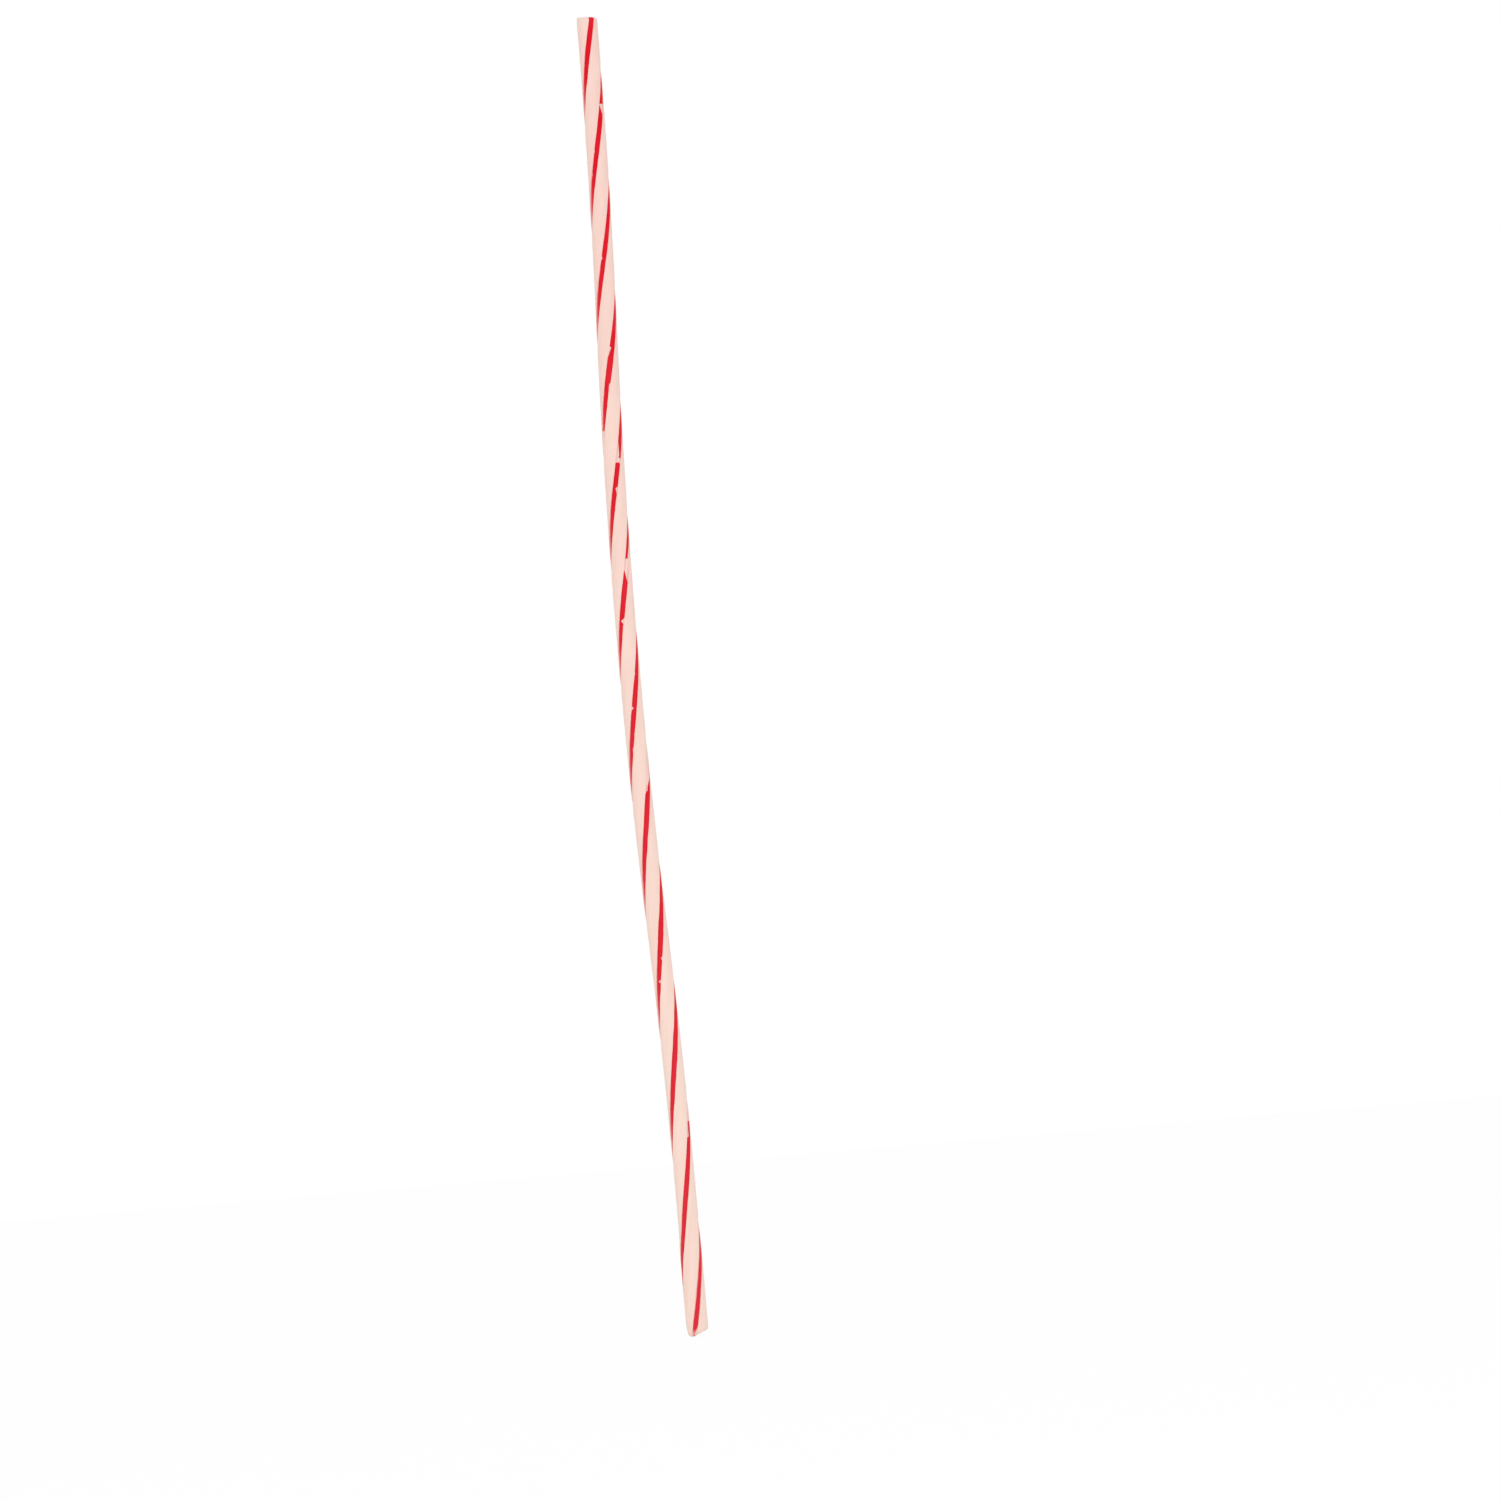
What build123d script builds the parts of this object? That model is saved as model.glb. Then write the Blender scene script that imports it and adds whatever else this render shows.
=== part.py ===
"""Spiral birthday candle: a slim round wax rod with three coloured wax stripes let into it as a
spiral and a cotton wick inside, cut off plain at both ends.

The rod stands on the origin with its foot down and its length along +Z. X runs across the rod in
the plane of its bow, and Y is the direction it is seen along. Millimetres and degrees.
"""
import os
from math import atan, ceil, degrees, radians, sin, sqrt

from build123d import *

# The wax rod: a straight foot that is a little thicker, a short taper, then the slim length
candle_length = 180.0
rod_diameter = 2.80
foot_diameter = 3.00
foot_length = 10.0
foot_taper = 5.0

# The bow: above the foot the rod swings to the left and back again, furthest out at this height
bow_offset = 1.66
bow_height = 95.0

# The twist: one full turn takes longer at the foot than at the tip
pitch_foot = 51.6
pitch_tip = 44.0
first_stripe_angle = -105.0

# The stripes and the grooves that hold them. On the foot a stripe's face is level with the wax, and
# along the taper and the slim length it lies sunk in its groove by a hair
stripe_count = 3
stripe_width = 0.77
stripe_depth = 0.42
stripe_sink = 0.04
stripe_clearance = 0.02

# The wick and its bore
wick_diameter = 0.80
wick_clearance = 0.02

# The knife cuts at the two ends, as slopes up towards +X
foot_cut_angle = 20.0
tip_cut_angle = -3.0

# How far the uncut rod runs past each end, how far an untrimmed stripe stands out of the foot, how
# closely the sections follow the twist, and how many narrow flats make up a stripe's rounded face
cut_allowance = 2.0 * rod_diameter
trim_allowance = 0.10
turn_between_sections = 20.0
face_flats = 3


def twist_at(height):
    """How far the stripes have turned at a height, with the turning rate growing evenly."""
    rate_foot = 360.0 / pitch_foot
    rate_tip = 360.0 / pitch_tip
    gain = (rate_tip - rate_foot) / candle_length
    return first_stripe_angle + rate_foot * height + gain * height**2 / 2.0


# The axis of the rod: straight through the foot, then four arcs in line with each other, two that
# lead out to the far point of the bow and two that lead back
straight_length = foot_length + foot_taper
lower_height = bow_height - straight_length
lower_angle = 2.0 * degrees(atan(bow_offset / lower_height))
lower_radius = lower_height / 2.0 / sin(radians(lower_angle))
upper_height = candle_length - bow_height
upper_angle = 2.0 * degrees(atan(bow_offset / upper_height))
upper_radius = upper_height / 2.0 / sin(radians(upper_angle))

with BuildLine(Plane.XZ) as rod_axis:
    foot_run = Line((0.0, -cut_allowance), (0.0, straight_length))
    out_bend = JernArc(foot_run @ 1, foot_run % 1, lower_radius, lower_angle)
    low_bend = JernArc(out_bend @ 1, out_bend % 1, lower_radius, -lower_angle)
    high_bend = JernArc(low_bend @ 1, low_bend % 1, upper_radius, -upper_angle)
    back_bend = JernArc(high_bend @ 1, high_bend % 1, upper_radius, upper_angle)
    tip_run = Line(back_bend @ 1, (back_bend @ 1) + Vector(0.0, 0.0, cut_allowance))

axis_wire = rod_axis.wires()[0]
bowed_wire = Wire(axis_wire.edges().sort_by(Axis.Z)[1:])


def section_plane(height, turn):
    """The plane square to the rod's axis at a height, turned about that axis."""
    share = (height + cut_allowance) / (candle_length + 2.0 * cut_allowance)
    along = axis_wire.tangent_at(share)
    across = Vector(0.0, 1.0, 0.0).cross(along)
    plane = Plane(origin=axis_wire.position_at(share), x_dir=across, z_dir=along)
    return plane.rotated((0.0, 0.0, turn))


twist_low = -cut_allowance / 2.0
twist_high = candle_length + cut_allowance / 2.0
stripe_angles = [360.0 * index / stripe_count for index in range(stripe_count)]

foot_cut = Plane.XY.rotated((0.0, -foot_cut_angle, 0.0))
tip_cut = Plane.XY.offset(candle_length).rotated((0.0, -tip_cut_angle, 0.0))


def section_heights(low, high):
    """Heights from low to high, close enough together for sections there to follow the twist."""
    steps = ceil((twist_at(high) - twist_at(low)) / turn_between_sections)
    return [low + (high - low) * step / steps for step in range(steps + 1)]


def cut_groove(angle):
    """Cut a groove that follows the twist, a little wider and deeper than its stripe."""
    sections = []
    for height in section_heights(twist_low, twist_high):
        with BuildSketch(section_plane(height, twist_at(height) + angle)) as section:
            with Locations((rod_diameter / 2.0, 0.0)):
                Rectangle(2.0 * (stripe_depth + stripe_clearance), stripe_width + 2.0 * stripe_clearance)
        sections.append(section.sketch)
    loft(sections, mode=Mode.SUBTRACT)


def past_foot(height):
    """How far out an untrimmed stripe reaches on the foot."""
    return foot_diameter / 2.0 + trim_allowance


def sunk_face(height):
    """How far out a stripe's face lies above the foot: a hair below the taper and the slim rod."""
    share = min((height - foot_length) / foot_taper, 1.0)
    diameter = foot_diameter + (rod_diameter - foot_diameter) * share
    return diameter / 2.0 - stripe_sink


def add_strip(angle, low, high, face_radius):
    """Add a strip that follows the twist from one height to another, out to its face."""
    floor = rod_diameter / 2.0 - stripe_depth
    sections = []
    for height in section_heights(low, high):
        corners = [(floor, stripe_width / 2.0), (floor, -stripe_width / 2.0)]
        for step in range(face_flats + 1):
            across = stripe_width * (step / face_flats - 0.5)
            corners.append((sqrt(face_radius(height) ** 2 - across**2), across))
        with BuildSketch(section_plane(height, twist_at(height) + angle)) as section:
            with BuildLine():
                Polyline(*corners, close=True)
            make_face()
        sections.append(section.sketch)
    loft(sections)


def trim_to_foot():
    """Trim the part to the round of the foot."""
    with BuildSketch(Plane.XY.offset(-cut_allowance)) as foot_section:
        Circle(foot_diameter / 2.0)
    extrude(foot_section.sketch, amount=cut_allowance + straight_length, mode=Mode.INTERSECT)


def wax_rod():
    """The whole rod before it is grooved, bored and cut: foot, taper and bowed length."""
    foot_radius = foot_diameter / 2.0
    rod_radius = rod_diameter / 2.0
    with BuildSketch(Plane.XZ) as foot_profile:
        with BuildLine():
            Polyline(
                (0.0, -cut_allowance),
                (foot_radius, -cut_allowance),
                (foot_radius, foot_length),
                (rod_radius, straight_length),
                (0.0, straight_length),
                close=True,
            )
        make_face()
    revolve(foot_profile.sketch, axis=Axis.Z)
    with BuildSketch(Plane.XY.offset(straight_length)) as rod_section:
        Circle(rod_radius)
    sweep(rod_section.sketch, path=bowed_wire)


def string_along_axis(diameter, mode):
    """A round string, or the bore for it, along the whole axis."""
    with BuildSketch(Plane.XY.offset(-cut_allowance)) as string_section:
        Circle(diameter / 2.0)
    sweep(string_section.sketch, path=axis_wire, mode=mode)


def cut_ends():
    """Cut the part off level with the candle's two ends."""
    split(bisect_by=foot_cut, keep=Keep.TOP)
    split(bisect_by=tip_cut, keep=Keep.BOTTOM)


os.makedirs("parts", exist_ok=True)

# Wax body: the pale rod, with the spiral grooves for the stripes and the bore that the wick fills
with BuildPart() as wax_body:
    wax_rod()
    string_along_axis(wick_diameter + 2.0 * wick_clearance, Mode.SUBTRACT)
    for angle in stripe_angles:
        cut_groove(angle)
    cut_ends()
wax_body.part.label = "wax_body"
export_step(wax_body.part, "parts/wax_body.step")

# Stripes: strips of coloured wax, one in each groove, level with the foot and sunk by a hair above it
for number, angle in enumerate(stripe_angles, start=1):
    with BuildPart() as stripe:
        add_strip(angle, twist_low, foot_length, past_foot)
        trim_to_foot()
        add_strip(angle, foot_length, twist_high, sunk_face)
        cut_ends()
    stripe.part.label = f"stripe_{number}"
    export_step(stripe.part, f"parts/stripe_{number}.step")

# Wick: a round cotton string along the axis, trimmed level with the wax
with BuildPart() as wick:
    string_along_axis(wick_diameter, Mode.ADD)
    cut_ends()
wick.part.label = "wick"
export_step(wick.part, "parts/wick.step")
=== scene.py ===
"""Looks of a spiral birthday candle: a cotton wick, a pale wax rod round it and three red wax stripes
let into the rod, standing on a plain pale floor under soft studio light. Metres and radians."""
import random
from math import atan2, cos, exp, hypot, radians, sin, sqrt, tan, tau

import bmesh
import bpy
from mathutils import Matrix, Vector, noise


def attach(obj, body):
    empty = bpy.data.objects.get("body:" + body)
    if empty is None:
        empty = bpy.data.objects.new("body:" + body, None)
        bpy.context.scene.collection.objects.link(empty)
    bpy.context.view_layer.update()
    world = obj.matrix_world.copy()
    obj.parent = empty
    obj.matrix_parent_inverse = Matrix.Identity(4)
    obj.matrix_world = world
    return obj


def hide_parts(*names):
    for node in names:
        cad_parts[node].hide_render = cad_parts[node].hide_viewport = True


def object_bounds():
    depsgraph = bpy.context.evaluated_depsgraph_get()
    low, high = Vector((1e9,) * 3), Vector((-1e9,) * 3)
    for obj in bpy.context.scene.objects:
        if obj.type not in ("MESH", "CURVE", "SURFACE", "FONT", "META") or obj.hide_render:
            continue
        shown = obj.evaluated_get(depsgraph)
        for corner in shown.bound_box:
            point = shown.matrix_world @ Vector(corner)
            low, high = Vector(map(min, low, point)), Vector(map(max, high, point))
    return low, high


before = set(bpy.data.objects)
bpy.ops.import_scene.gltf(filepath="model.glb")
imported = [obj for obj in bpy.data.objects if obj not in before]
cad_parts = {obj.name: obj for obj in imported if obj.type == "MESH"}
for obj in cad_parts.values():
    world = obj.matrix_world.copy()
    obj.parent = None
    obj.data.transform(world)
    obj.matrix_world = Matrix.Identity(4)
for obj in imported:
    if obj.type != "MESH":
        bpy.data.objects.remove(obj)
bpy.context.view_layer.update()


# Wick
# Three cotton yarns twisted into a string and soaked in wax. It lies in the axis of the rod, which
# bows gently to one side, and is cut off level with the wax at both ends.
mm = 0.001
candle_length = 180.0 * mm
straight_length = 15.0 * mm
bow_offset = 1.66 * mm
bow_height = 95.0 * mm
foot_cut_slope = tan(radians(20.0))
tip_cut_slope = tan(radians(-3.0))
cut_reach = 4.0 * mm
crease_angle = radians(40.0)

yarn_count = 3
yarn_sides = 8
yarn_radius = 0.20 * mm
yarn_offset = 0.195 * mm
yarn_lay = 6.0 * mm
yarn_step = 0.6 * mm
fibre_relief = 0.03 * mm


def soft_step(share):
    """A smooth rise from 0 to 1."""
    share = min(max(share, 0.0), 1.0)
    return share * share * (3.0 - 2.0 * share)


def axis_at(height):
    """How far the rod's axis stands to the side at a height, and how fast that changes."""
    if height < bow_height:
        span = bow_height - straight_length
        share = min(max((height - straight_length) / span, 0.0), 1.0)
        rate = -4.0 * bow_offset / span
    else:
        span = candle_length - bow_height
        share = min(max((candle_length - height) / span, 0.0), 1.0)
        rate = 4.0 * bow_offset / span
    if share < 0.5:
        return -2.0 * bow_offset * share**2, rate * share
    return -bow_offset + 2.0 * bow_offset * (1.0 - share) ** 2, rate * (1.0 - share)


def on_rod(height, radius, angle, foot_rise=0.0, tip_fall=0.0):
    """The point at a distance and an angle from the axis. Near the ends the heights are drawn to the
    slanting cuts, which are higher by foot_rise at the foot and lower by tip_fall at the tip."""
    across = radius * cos(angle)
    near_foot = soft_step(1.0 - height / cut_reach)
    near_tip = soft_step(1.0 - (candle_length - height) / cut_reach)
    level = height + near_foot * (foot_cut_slope * across + foot_rise)
    level += near_tip * (tip_cut_slope * across - tip_fall)
    side, slope = axis_at(height)
    return Vector((side + across, radius * sin(angle), level - slope * across))


def new_piece(name, points, faces, lay):
    """A closed mesh that rides on the candle. Each point's place before the twist and the bow is kept
    as its lay."""
    mesh = bpy.data.meshes.new(name)
    mesh.from_pydata(points, [], faces)
    mesh.attributes.new("lay", "FLOAT_VECTOR", "POINT")
    mesh.attributes["lay"].data.foreach_set("vector", [value for place in lay for value in place])
    shape = bmesh.new()
    shape.from_mesh(mesh)
    bmesh.ops.recalc_face_normals(shape, faces=shape.faces)
    shape.to_mesh(mesh)
    shape.free()
    mesh.shade_smooth()
    mesh.set_sharp_from_angle(angle=crease_angle)
    piece = bpy.data.objects.new(name, mesh)
    bpy.context.scene.collection.objects.link(piece)
    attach(piece, "root")
    return piece


class Socket:
    """A socket in a material's node tree. Arithmetic on it adds Math nodes to the tree."""

    def __init__(self, tree, socket=None):
        self.tree = tree
        self.socket = socket

    def make(self, kind, settings, inputs, output=0):
        """Adds a node with its settings, then its inputs as values or links."""
        node = self.tree.nodes.new(kind)
        for name, value in settings.items():
            setattr(node, name, value)
        for name, value in inputs.items():
            if isinstance(value, Socket):
                self.tree.links.new(value.socket, node.inputs[name])
            else:
                node.inputs[name].default_value = value
        return Socket(self.tree, node.outputs[output] if node.outputs else None)

    def maths(self, operation, first, second=0.0):
        """Adds a Math node."""
        return self.make("ShaderNodeMath", {"operation": operation}, {0: first, 1: second})

    def __add__(self, other):
        return self.maths("ADD", self, other)

    def __sub__(self, other):
        return self.maths("SUBTRACT", self, other)

    def __rsub__(self, other):
        return self.maths("SUBTRACT", other, self)

    def __mul__(self, other):
        return self.maths("MULTIPLY", self, other)

    __radd__ = __add__
    __rmul__ = __mul__

    def limited(self):
        """The value held between 0 and 1."""
        return self.make("ShaderNodeClamp", {}, {"Value": self})

    def between(self, first, second):
        """The colour that lies this share of the way from one colour to another."""
        return self.make("ShaderNodeMix", {"data_type": "RGBA"}, {0: self, 6: first, 7: second}, 2)

    def axis(self, number):
        """One axis of this place: 0, 1 or 2."""
        return self.make("ShaderNodeSeparateXYZ", {}, {0: self}, number)

    def stretched(self, scale):
        """This place with each axis scaled."""
        return self.make("ShaderNodeVectorMath", {"operation": "MULTIPLY"}, {0: self, 1: scale})

    def direction(self):
        """The direction of this place from the origin, one unit long."""
        return self.make("ShaderNodeVectorMath", {"operation": "NORMALIZE"}, {0: self})

    def grain(self, scale, detail=2.0):
        """Soft noise at this place, from 0 to 1."""
        return self.make("ShaderNodeTexNoise", {}, {"Vector": self, "Scale": scale, "Detail": detail})


def srgb(red, green, blue):
    """A colour as a screen shows it, from 0 to 255, in the linear values that a shader takes."""
    shares = [value / 255.0 for value in (red, green, blue)]
    return (*[s / 12.92 if s <= 0.04045 else ((s + 0.055) / 1.055) ** 2.4 for s in shares], 1.0)


def new_finish(name):
    """An empty material, and the lay of the surface that it is on."""
    material = bpy.data.materials.new(name)
    material.use_nodes = True
    material.node_tree.nodes.clear()
    tree = Socket(material.node_tree)
    return material, tree.make("ShaderNodeAttribute", {"attribute_name": "lay"}, {}, 1)


def surface(colour, roughness, relief, relief_depth, constants):
    """Ends a material with its shader: what varies is linked, and the constants are set on it."""
    bumps = {"Height": relief, "Distance": relief_depth, "Strength": 1.0}
    normal = relief.make("ShaderNodeBump", {}, bumps)
    inputs = {"Base Color": colour, "Roughness": roughness, "Normal": normal, **constants}
    shader = relief.make("ShaderNodeBsdfPrincipled", {}, inputs)
    relief.make("ShaderNodeOutputMaterial", {}, {"Surface": shader})


yarn_points = []
yarn_faces = []
yarn_places = []
yarn_rings = round(candle_length / yarn_step)
for yarn in range(yarn_count):
    first = len(yarn_points)
    for ring in range(yarn_rings + 1):
        height = candle_length * ring / yarn_rings
        turn = tau * (yarn / yarn_count + height / yarn_lay)
        for side in range(yarn_sides):
            around = tau * side / yarn_sides
            across = yarn_offset * cos(turn) + yarn_radius * cos(turn + around)
            deep = yarn_offset * sin(turn) + yarn_radius * sin(turn + around)
            yarn_points.append(on_rod(height, hypot(across, deep), atan2(deep, across)))
            yarn_places.append((yarn_radius * cos(around), yarn_radius * sin(around), height))
    for ring in range(yarn_rings):
        low = first + ring * yarn_sides
        high = low + yarn_sides
        for side in range(yarn_sides):
            after = (side + 1) % yarn_sides
            yarn_faces.append((low + side, low + after, high + after, high + side))
    yarn_faces.append([first + side for side in range(yarn_sides)])
    yarn_faces.append([first + yarn_rings * yarn_sides + side for side in range(yarn_sides)])

cotton, lay = new_finish("waxed_cotton")
fibres = lay.stretched((1.0, 1.0, 0.12)).grain(14000.0, 3.0)
cotton_colour = fibres.between(srgb(206, 190, 160), srgb(238, 228, 206))
surface(cotton_colour, 0.55 + 0.25 * fibres, fibres, fibre_relief, {"Specular IOR Level": 0.3})

wick = new_piece("cotton_wick", yarn_points, yarn_faces, yarn_places)
wick.data.materials.append(cotton)
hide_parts("wick")


# Wax body
# A round rod of pale pink wax, drawn round the wick and twisted while soft. Three spiral grooves hold
# the stripes. A knife cut it off at both ends, nearly straight at the tip and slanting at the foot.
rod_radius = 1.40 * mm
foot_radius = 1.50 * mm
foot_length = 10.0 * mm
bore_radius = 0.42 * mm
core_radius = 0.70 * mm
uneven_share = 0.007
uneven_reach = 7.0 * mm
uneven_round = 0.6
wax_relief_depth = 0.015 * mm

# The rounded edges of the two cuts with what the left side adds, a burr on the foot cut, and the wear
# of the foot's left corner
foot_rounding = 0.25 * mm
foot_rounding_left = 0.45 * mm
tip_rounding = 0.36 * mm
tip_rounding_left = -0.12 * mm
burr_height = 0.12 * mm
burr_place = -0.45 * mm
burr_width = 0.35 * mm
wear_depth = 0.14 * mm
wear_reach = 2.0 * mm

# The grooves: their twist, their depth, and how deep and where they lie bare and stained in a break
pitch_foot = 51.6 * mm
pitch_tip = 44.0 * mm
first_stripe_angle = radians(-105.0)
stripe_count = 3
stripe_width = 0.77 * mm
stripe_depth = 0.42 * mm
gap_depth = 0.06 * mm
stain_inset = 0.07 * mm

# How a stripe's width drifts, how its edges wave and ripple, and the least that is left of it
drift_share = 0.12
drift_reach = 14.0 * mm
wave_depth = 0.022 * mm
wave_reach = 1.6 * mm
ripple_depth = 0.010 * mm
ripple_reach = 0.5 * mm
ripple_row = 20
least_width = 0.03 * mm

# The cells that the wax is made of, round the rod, outwards and along it
stripe_cells = 4
land_cells = 8
third_cells = stripe_cells + land_cells
columns = stripe_count * third_cells
rim_depths = (0.20 * mm, 0.06 * mm, 0.0)
core_layers = 2
layers = core_layers + len(rim_depths)
ring_step = 0.35 * mm
least_ring_step = 0.02 * mm
end_ring_shares = (0.05, 0.12, 0.2, 0.3, 0.42, 0.55, 0.7, 0.85)
chip_ring_shares = (0.0, 0.35, 0.7, 1.0)
bore_rings = 12

# The two edges of a stripe
LEFT = -1
RIGHT = 1

# Where the wax of a stripe is missing over its whole width: stripe, lowest and highest place
breaks = [
    (3, 167.80 * mm, 168.08 * mm),
    (2, 117.50 * mm, 123.60 * mm),
    (3, 119.20 * mm, 119.85 * mm),
    (1, 104.45 * mm, 106.10 * mm),
    (3, 76.10 * mm, 81.00 * mm),
    (3, 29.00 * mm, 33.00 * mm),
]
# Where an edge of a stripe is chipped: stripe, side, height, depth, how far it runs down and up
chips = [
    (3, RIGHT, 167.80 * mm, 0.66 * mm, 1.25 * mm, 0.05 * mm),
    (3, LEFT, 161.60 * mm, 0.11 * mm, 0.30 * mm, 0.30 * mm),
    (3, LEFT, 158.60 * mm, 0.12 * mm, 0.50 * mm, 0.15 * mm),
    (1, LEFT, 147.15 * mm, 0.12 * mm, 0.45 * mm, 0.15 * mm),
    (2, LEFT, 134.85 * mm, 0.27 * mm, 1.30 * mm, 0.20 * mm),
    (2, RIGHT, 129.95 * mm, 0.16 * mm, 3.00 * mm, 0.10 * mm),
    (3, LEFT, 119.85 * mm, 0.46 * mm, 0.05 * mm, 2.40 * mm),
    (3, RIGHT, 119.20 * mm, 0.20 * mm, 0.25 * mm, 0.05 * mm),
    (3, RIGHT, 115.70 * mm, 0.28 * mm, 0.80 * mm, 0.28 * mm),
    (1, RIGHT, 106.10 * mm, 0.36 * mm, 0.05 * mm, 3.50 * mm),
    (1, RIGHT, 104.45 * mm, 0.68 * mm, 1.75 * mm, 0.05 * mm),
    (1, RIGHT, 97.60 * mm, 0.42 * mm, 0.45 * mm, 0.45 * mm),
    (1, RIGHT, 97.00 * mm, 0.10 * mm, 2.50 * mm, 0.30 * mm),
    (2, LEFT, 90.30 * mm, 0.08 * mm, 0.30 * mm, 0.30 * mm),
    (2, LEFT, 85.67 * mm, 0.26 * mm, 0.28 * mm, 0.28 * mm),
    (2, RIGHT, 82.10 * mm, 0.10 * mm, 0.20 * mm, 0.20 * mm),
    (2, RIGHT, 80.10 * mm, 0.12 * mm, 0.60 * mm, 0.40 * mm),
    (3, LEFT, 76.10 * mm, 0.68 * mm, 2.30 * mm, 0.05 * mm),
    (3, LEFT, 74.30 * mm, 0.16 * mm, 0.15 * mm, 0.50 * mm),
    (1, RIGHT, 51.42 * mm, 0.20 * mm, 0.30 * mm, 0.30 * mm),
    (1, RIGHT, 48.30 * mm, 0.32 * mm, 0.30 * mm, 0.25 * mm),
    (3, LEFT, 26.95 * mm, 0.28 * mm, 0.25 * mm, 2.40 * mm),
    (1, RIGHT, 0.0 * mm, 0.32 * mm, 0.10 * mm, 0.80 * mm),
]
# Where a stripe is wider or thinner for a stretch: stripe, height, change of width, reach
swells = [
    (2, 131.5 * mm, 0.14 * mm, 4.0 * mm),
    (1, 8.5 * mm, -0.28 * mm, 6.0 * mm),
]


def twist_at(height):
    """How far the stripes have turned at a height, with the turning rate growing evenly."""
    rate_foot = tau / pitch_foot
    rate_tip = tau / pitch_tip
    gain = (rate_tip - rate_foot) / candle_length
    return first_stripe_angle + rate_foot * height + gain * height**2 / 2.0


def middle_line(stripe, height):
    """The angle round the rod at which the middle of a stripe lies."""
    return twist_at(height) + tau * (stripe - 1) / stripe_count


# The side turned away has small chips too, of these depths and runs
draw = random.Random(11)
hidden_tries = 60
hidden_from = 0.1
hidden_shares = (0.03, 0.97)
hidden_depths = (0.06 * mm, 0.30 * mm)
hidden_runs = (0.2 * mm, 0.6 * mm)
for count in range(hidden_tries):
    stripe = draw.randint(1, stripe_count)
    height = draw.uniform(*hidden_shares) * candle_length
    side = draw.choice((LEFT, RIGHT))
    depth = draw.uniform(*hidden_depths)
    down = draw.uniform(*hidden_runs)
    up = draw.uniform(*hidden_runs)
    if sin(middle_line(stripe, height)) > hidden_from:
        chips.append((stripe, side, height, depth, down, up))


def wander(height, reach, row):
    """Smooth chance variation along the candle, from about -1 to 1, different in each row."""
    return 2.0 * noise.noise(Vector((height / reach, 7.3 * row, 1.7 * row)))


def half_width(stripe, side, height):
    """How far a stripe's wax reaches from its middle line to one edge."""
    row = 2 * stripe + side
    width = stripe_width * (1.0 + drift_share * wander(height, drift_reach, stripe))
    for at_stripe, place, change, reach in swells:
        if at_stripe == stripe:
            width += change * exp(-(((height - place) / reach) ** 2))
    half = width / 2.0 + wave_depth * wander(height, wave_reach, row)
    half += ripple_depth * wander(height, ripple_reach, row + ripple_row)
    for at_stripe, at_side, place, depth, down, up in chips:
        if at_stripe == stripe and at_side == side:
            run = up if height > place else down
            half -= depth * max(0.0, 1.0 - abs(height - place) / run)
    return max(half, least_width - width / 2.0)


def above_foot(height):
    """0 on the foot and 1 on the slim rod, with a smooth rise along the taper."""
    return soft_step((height - foot_length) / (straight_length - foot_length))


def rod_radius_at(height, angle):
    """The rod's radius: thicker at the foot, a little uneven, and worn at the foot's left corner."""
    radius = foot_radius + (rod_radius - foot_radius) * above_foot(height)
    place = Vector((uneven_round * cos(angle), uneven_round * sin(angle), height / uneven_reach))
    worn = max(0.0, -cos(angle)) * max(0.0, 1.0 - height / wear_reach) ** 2
    return radius * (1.0 + uneven_share * noise.noise(place)) - wear_depth * worn


def rounded(radius, rim, rounding):
    """How far a rounded edge falls away at a radius near the rim."""
    over = min(max(radius - (rim - rounding), 0.0), rounding)
    return rounding - sqrt(rounding**2 - over**2)


ring_heights = {0.0, candle_length}
ring_heights.update(ring_step * step for step in range(1, int(candle_length / ring_step)))
for share in end_ring_shares:
    ring_heights.update((share * cut_reach, candle_length - share * cut_reach))
for stripe, side, place, depth, down, up in chips:
    for share in chip_ring_shares:
        ring_heights.update((place - share * down, place + share * up))
for stripe, low, high in breaks:
    ring_heights.update((low, high))
ring_heights = sorted(height for height in ring_heights if 0.0 <= height <= candle_length)
heights = [ring_heights[0]]
for height in ring_heights[1:]:
    if height - heights[-1] > least_ring_step:
        heights.append(height)
heights[-1] = candle_length
rings = len(heights)

angles = []
for height in heights:
    edges = []
    for stripe in range(1, stripe_count + 1):
        middle = middle_line(stripe, height)
        edges.append(middle - half_width(stripe, LEFT, height) / rod_radius)
        edges.append(middle + half_width(stripe, RIGHT, height) / rod_radius)
    edges.append(edges[0] + tau)
    row = []
    for start, end, cells in zip(edges, edges[1:], (stripe_cells, land_cells) * stripe_count):
        row += [start + (end - start) * cell / cells for cell in range(cells)]
    angles.append(row)

filled = []
for stripe in range(1, stripe_count + 1):
    row = []
    for low, high in zip(heights, heights[1:]):
        middle = (low + high) / 2.0
        row.append(not any(at == stripe and start < middle < end for at, start, end in breaks))
    filled.append(row)


def owner(ring, column, layer):
    """Which wax a cell of the rod is: 0 for the pale wax, or a stripe's number. None is outside."""
    if not (0 <= ring < rings - 1 and 0 <= layer < layers):
        return None
    third, cell = divmod(column % columns, third_cells)
    if layer >= core_layers and cell < stripe_cells and filled[third][ring]:
        return third + 1
    return 0


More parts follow.
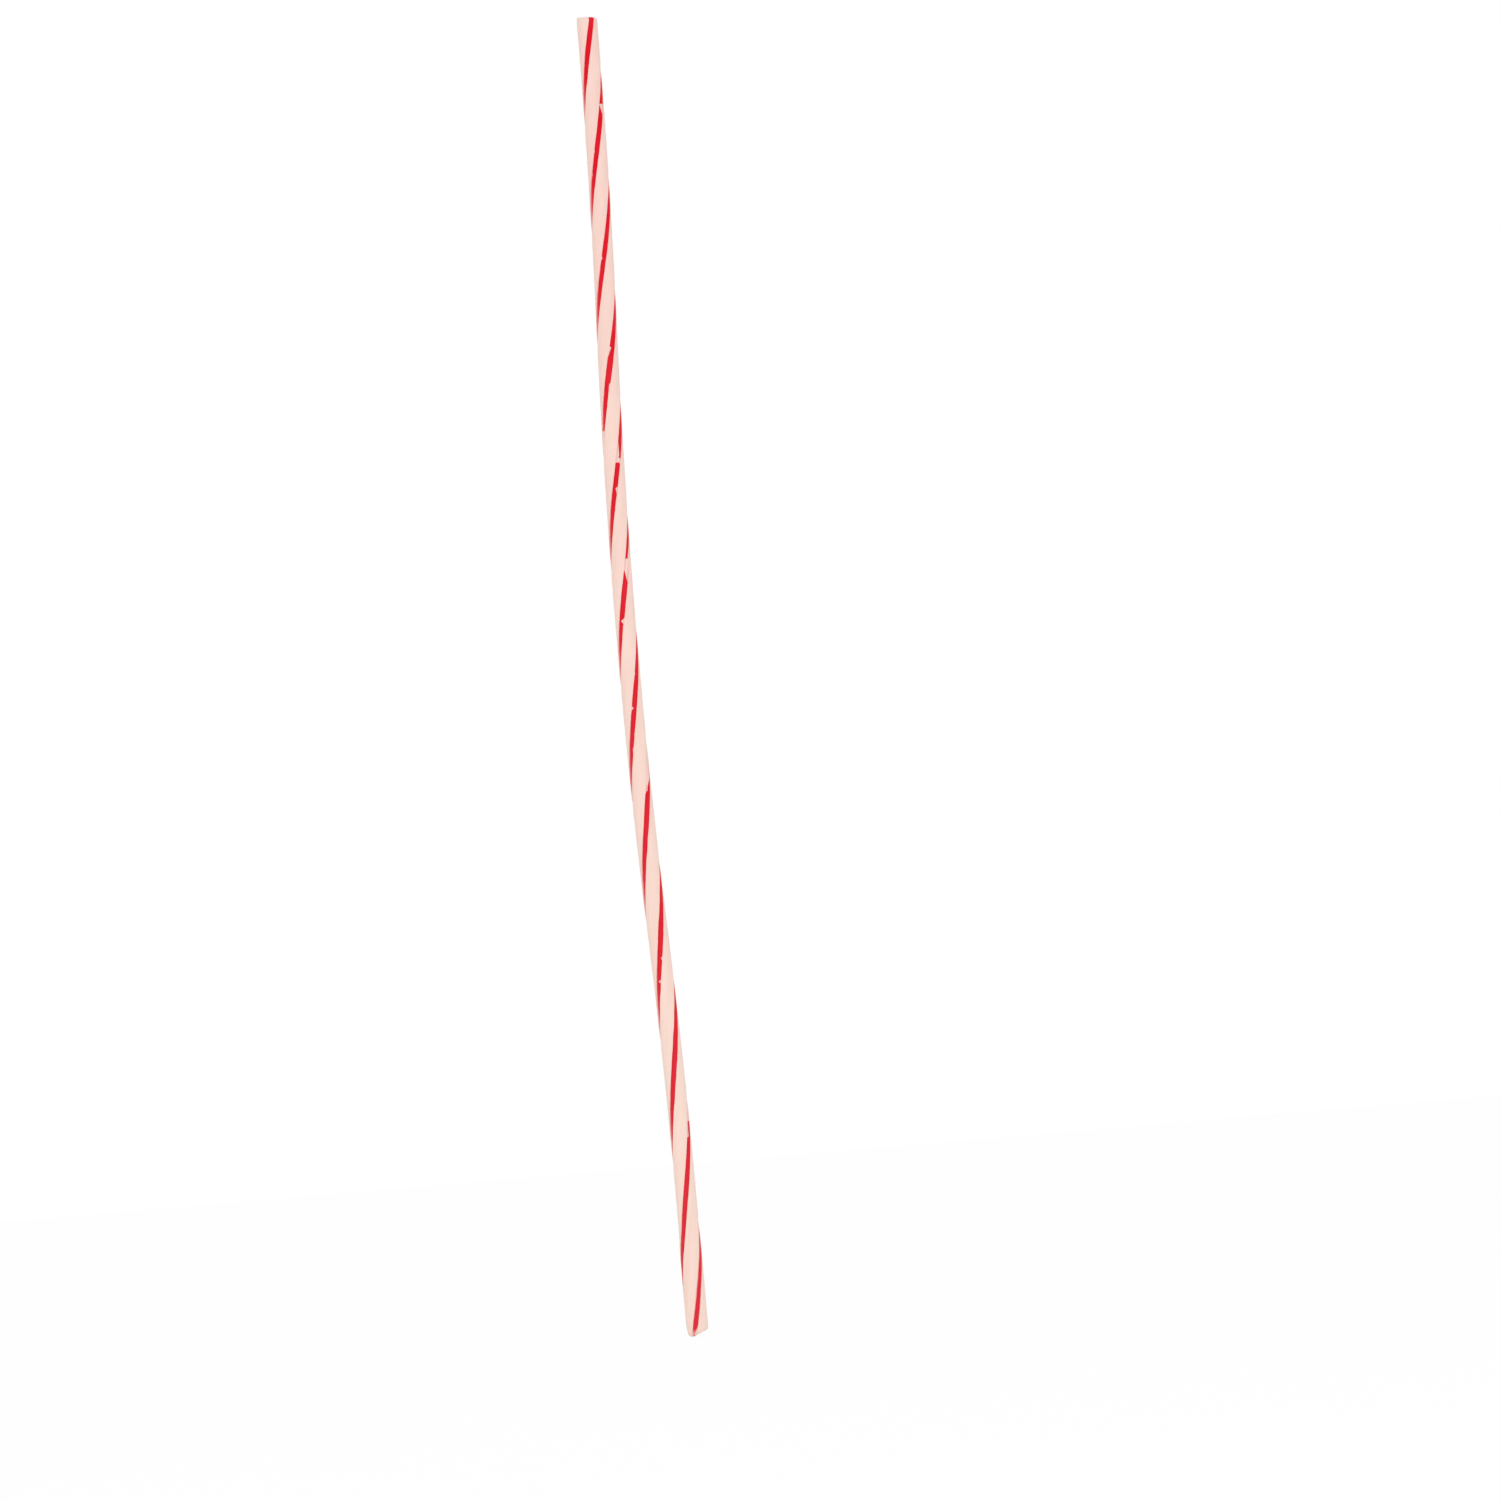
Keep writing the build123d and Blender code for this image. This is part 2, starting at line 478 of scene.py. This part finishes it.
def cell_sides(r, c, n):
    """The cells next to a cell, each with the corners of the side between the two."""
    sides = {
        (r - 1, c, n): [(r, c, n), (r, c + 1, n), (r, c + 1, n + 1), (r, c, n + 1)],
        (r + 1, c, n): [(r + 1, c, n), (r + 1, c + 1, n), (r + 1, c + 1, n + 1), (r + 1, c, n + 1)],
        (r, c - 1, n): [(r, c, n), (r + 1, c, n), (r + 1, c, n + 1), (r, c, n + 1)],
        (r, c + 1, n): [(r, c + 1, n), (r + 1, c + 1, n), (r + 1, c + 1, n + 1), (r, c + 1, n + 1)],
        (r, c, n + 1): [(r, c, n + 1), (r, c + 1, n + 1), (r + 1, c + 1, n + 1), (r + 1, c, n + 1)],
    }
    if n > 0:
        sides[(r, c, n - 1)] = [(r, c, n), (r, c + 1, n), (r + 1, c + 1, n), (r + 1, c, n)]
    return sides


def closed_round(face):
    """The corners of a face, with the last column followed by the first."""
    return [(ring, column % columns, node) for ring, column, node in face]


# Each wax has the sides where it meets another wax or the air. The bore has long faces of its own
wax_faces = {number: [] for number in range(stripe_count + 1)}
for ring in range(rings - 1):
    for column in range(columns):
        for layer in range(layers):
            own = owner(ring, column, layer)
            for neighbour, face in cell_sides(ring, column, layer).items():
                if owner(*neighbour) != own:
                    wax_faces[own].append(closed_round(face))
bore_steps = [round((rings - 1) * step / bore_rings) for step in range(bore_rings + 1)]
for low, high in zip(bore_steps, bore_steps[1:]):
    for column in range(columns):
        face = [(low, column, 0), (low, column + 1, 0), (high, column + 1, 0), (high, column, 0)]
        wax_faces[0].append(closed_round(face))


def wax_point(ring, column, node, sink):
    """Where a corner of the cells lies on the candle, and its lay."""
    height = heights[ring]
    angle = angles[ring][column]
    rim = rod_radius_at(height, angle)
    radii = (bore_radius, core_radius, rim - stripe_depth, *[rim - depth for depth in rim_depths])
    radius = radii[node] - sink
    left = max(0.0, -cos(angle))
    from_burr = (radius * cos(angle) - burr_place) / burr_width
    foot_rise = rounded(radius, rim, foot_rounding + foot_rounding_left * left)
    foot_rise -= burr_height * exp(-(from_burr**2))
    tip_fall = rounded(radius, rim, tip_rounding + tip_rounding_left * left)
    turn = angle - twist_at(height)
    point = on_rod(height, radius, angle, foot_rise, tip_fall)
    return point, (radius * cos(turn), radius * sin(turn), height)


def wax_piece(name, faces, sink_of):
    """A piece made of the cell faces that close it off."""
    index = {}
    points = []
    places = []
    numbered = []
    for face in faces:
        for place in face:
            if place not in index:
                index[place] = len(points)
                point, lay_place = wax_point(*place, sink_of(*place))
                points.append(point)
                places.append(lay_place)
        numbered.append([index[place] for place in face])
    return new_piece(name, points, numbered, places)


def sink_of_gap(ring, column, node):
    """How far the bare groove lies below the rod's surface where a stripe's wax is missing."""
    third, cell = divmod(column, third_cells)
    on_face = node == layers and 0 < cell < stripe_cells
    in_gap = 0 < ring < rings - 1 and not filled[third][ring - 1] and not filled[third][ring]
    return gap_depth if on_face and in_gap else 0.0


pale_wax, lay = new_finish("pale_wax")
along = (lay.axis(2) * (1.0 / candle_length)).limited()
streaks = lay.stretched((1.0, 1.0, 0.03)).grain(1900.0)
clouds = lay.stretched((1.0, 1.0, 0.35)).grain(520.0, 3.0)
wax_colour = along.between(srgb(251, 226, 211), srgb(243, 208, 198))
wax_colour = (1.4 * streaks - 0.45).limited().between(wax_colour, srgb(247, 208, 197))
wax_colour = (1.5 * clouds - 0.60).limited().between(wax_colour, srgb(252, 224, 213))

# Pink smears just inside the edges of the bare grooves. The cosine of three times the turn round the
# rod is 1 on the middle line of every groove
cosine = lay.stretched((1.0, 1.0, 0.0)).direction().axis(0)
cosine_of_three = 4.0 * cosine * cosine * cosine - 3.0 * cosine
stain_line = cos(stripe_count * (stripe_width / 2.0 - stain_inset) / rod_radius)
beside_line = lay.maths("ABSOLUTE", cosine_of_three - stain_line)
smears = lay.stretched((1.0, 1.0, 0.2)).grain(1500.0)
stain = (1.0 - 6.0 * beside_line).limited() * (3.0 * smears - 0.8).limited()
wax_colour = stain.between(wax_colour, srgb(234, 128, 136))

wax_relief = 0.6 * streaks + 0.4 * lay.grain(2600.0)
wax_shine = {
    "Specular IOR Level": 0.22,
    "IOR": 1.44,
    "Subsurface Weight": 0.20,
    "Subsurface Radius": (1.0, 0.45, 0.32),
    "Subsurface Scale": 0.4 * mm,
}
surface(wax_colour, 0.42 + 0.16 * clouds, wax_relief, wax_relief_depth, wax_shine)

rod = wax_piece("pale_wax_rod", wax_faces[0], sink_of_gap)
rod.data.materials.append(pale_wax)
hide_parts("wax_body")


# Stripes
# Three strips of red wax pressed into the grooves while warm. Their faces lie sunk and tilt a little
# with the twist. They vary in width, and their edges are wavy, chipped and in places broken through.
stripe_sink = 0.02 * mm
stripe_tilt = 0.12 * mm
least_layer = 0.03 * mm
# How far up from the foot the painted highlight on the stripes reaches, and how pale it makes the red
# at the cut
foot_highlight_length = 0.6 * mm
foot_highlight_share = 0.75


def sink_of_stripe(ring, column, node):
    """How far a stripe's face lies below the rod's surface: a hair at its right edge, more at its left
    edge, and nothing on the foot. The corners one layer down give way, so that they stay below it."""
    share = 1.0 - (column % third_cells) / stripe_cells
    sink = (stripe_sink + stripe_tilt * share) * above_foot(heights[ring])
    if node == layers:
        return sink
    if node == layers - 1:
        return max(0.0, sink - least_layer)
    return 0.0


red_wax, lay = new_finish("red_wax")
height = lay.axis(2)
along = (height * (1.0 / candle_length)).limited()
flow = lay.stretched((1.0, 1.0, 0.05)).grain(2600.0)
blotches = lay.stretched((1.0, 1.0, 0.4)).grain(700.0, 3.0)
red_colour = along.between(srgb(222, 48, 60), srgb(224, 4, 32))
red_colour = (1.6 * flow - 0.6).limited().between(red_colour, srgb(214, 6, 30))
red_colour = (1.8 * blotches - 0.8).limited().between(red_colour, srgb(232, 44, 58))
# Painted highlight: over the last part above the foot cut, the red turns towards pale pink, in place
# of light on the rounded edge
painted_foot_highlight = (foot_highlight_share - foot_highlight_share / foot_highlight_length * height).limited()
red_colour = painted_foot_highlight.between(red_colour, srgb(244, 170, 164))
red_relief = 0.6 * flow + 0.4 * lay.grain(3000.0)
red_shine = {
    "Specular IOR Level": 0.08,
    "IOR": 1.44,
    "Sheen Weight": 1.0,
    "Sheen Roughness": 0.32,
    "Sheen Tint": srgb(250, 222, 212),
}
surface(red_colour, 0.40 + 0.16 * blotches, red_relief, wax_relief_depth, red_shine)

for number in range(1, stripe_count + 1):
    stripe = wax_piece(f"red_stripe_{number}", wax_faces[number], sink_of_stripe)
    stripe.data.materials.append(red_wax)
    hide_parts(f"stripe_{number}")


# Floor
# A plain white studio floor that the foot touches. It shows white, with only the candle's own faint
# shadow on it.
floor_size = 1.2
floor_white = 0.95
plain_share = 0.94
white = (1.0, 1.0, 1.0, 1.0)

ground = bpy.data.meshes.new("floor")
reach = floor_size / 2.0
ends = [(-reach, -reach, 0.0), (reach, -reach, 0.0), (reach, reach, 0.0), (-reach, reach, 0.0)]
ground.from_pydata(ends, [], [(0, 1, 2, 3)])
floor = bpy.data.objects.new("floor", ground)
floor.location.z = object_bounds()[0].z
bpy.context.scene.collection.objects.link(floor)


def seen_directly(tree):
    """1 for what the camera sees, also in a reflection or through glass, and 0 for light."""
    camera = tree.make("ShaderNodeLightPath", {}, {}, "Is Camera Ray")
    glossy = tree.make("ShaderNodeLightPath", {}, {}, "Is Glossy Ray")
    through = tree.make("ShaderNodeLightPath", {}, {}, "Is Transmission Ray")
    return (camera + glossy + through).limited()


floor_paint = bpy.data.materials.new("floor_white")
floor_paint.use_nodes = True
floor_paint.node_tree.nodes.clear()
tree = Socket(floor_paint.node_tree)
matte = tree.make("ShaderNodeBsdfDiffuse", {}, {"Color": (floor_white, floor_white, floor_white, 1.0)})
plain = tree.make("ShaderNodeEmission", {}, {"Color": white, "Strength": 1.0})
share = plain_share * seen_directly(tree)
mixed = tree.make("ShaderNodeMixShader", {}, {0: share, 1: matte, 2: plain})
tree.make("ShaderNodeOutputMaterial", {}, {"Surface": mixed})
ground.materials.append(floor_paint)


# Light
# A bright, even white studio: light from all round, and one large soft lamp in front of the candle
# and a little above it.
room_light = 0.84
lamp_power = 1.55
lamp_size = 0.7
lamp_place = Vector((0.0, -0.80, 0.36))
lamp_target = Vector((0.0, 0.0, candle_length / 2.0))

world = bpy.data.worlds.new("studio")
bpy.context.scene.world = world
world.use_nodes = True
world.node_tree.nodes.clear()
tree = Socket(world.node_tree)
seen = tree.make("ShaderNodeBackground", {}, {"Color": white, "Strength": 1.0})
lit = tree.make("ShaderNodeBackground", {}, {"Color": white, "Strength": room_light})
mixed = tree.make("ShaderNodeMixShader", {}, {0: seen_directly(tree), 1: lit, 2: seen})
tree.make("ShaderNodeOutputWorld", {}, {"Surface": mixed})

lamp_data = bpy.data.lights.new("soft_lamp", "AREA")
lamp_data.shape = "SQUARE"
lamp_data.size = lamp_size
lamp_data.energy = lamp_power
lamp = bpy.data.objects.new("soft_lamp", lamp_data)
lamp.location = lamp_place
lamp.rotation_mode = "QUATERNION"
lamp.rotation_quaternion = (lamp_target - lamp_place).to_track_quat("-Z", "Y")
bpy.context.scene.collection.objects.link(lamp)


# Camera
# It looks along +Y at the middle of the frame with a long lens, and is turned so that the candle
# leans as it lies in the picture.
picture_size = 1500
tip_pixel = Vector((586.6, 17.6))
foot_pixel = Vector((697.8, 1333.6))
lens = 250.0
sensor = 36.0
farthest_seen = 20.0

leaning = foot_pixel - tip_pixel
scale = candle_length / leaning.length
down = leaning.normalized()
right = Vector((down.y, -down.x))
centre = Vector((picture_size / 2.0, picture_size / 2.0)) - foot_pixel
aim = Vector((centre.dot(right), 0.0, -centre.dot(down))) * scale
distance = picture_size * scale * lens / sensor
up = Vector((-right.y, 0.0, down.y))
backward = Vector((0.0, -1.0, 0.0))

camera_data = bpy.data.cameras.new("camera")
camera_data.lens = lens
camera_data.sensor_width = sensor
camera_data.clip_end = farthest_seen
camera = bpy.data.objects.new("camera", camera_data)
facing = Matrix((up.cross(backward), up, backward)).transposed()
camera.matrix_world = Matrix.Translation(aim + distance * backward) @ facing.to_4x4()
bpy.context.scene.collection.objects.link(camera)
bpy.context.scene.camera = camera
bpy.context.scene.view_settings.view_transform = "Standard"
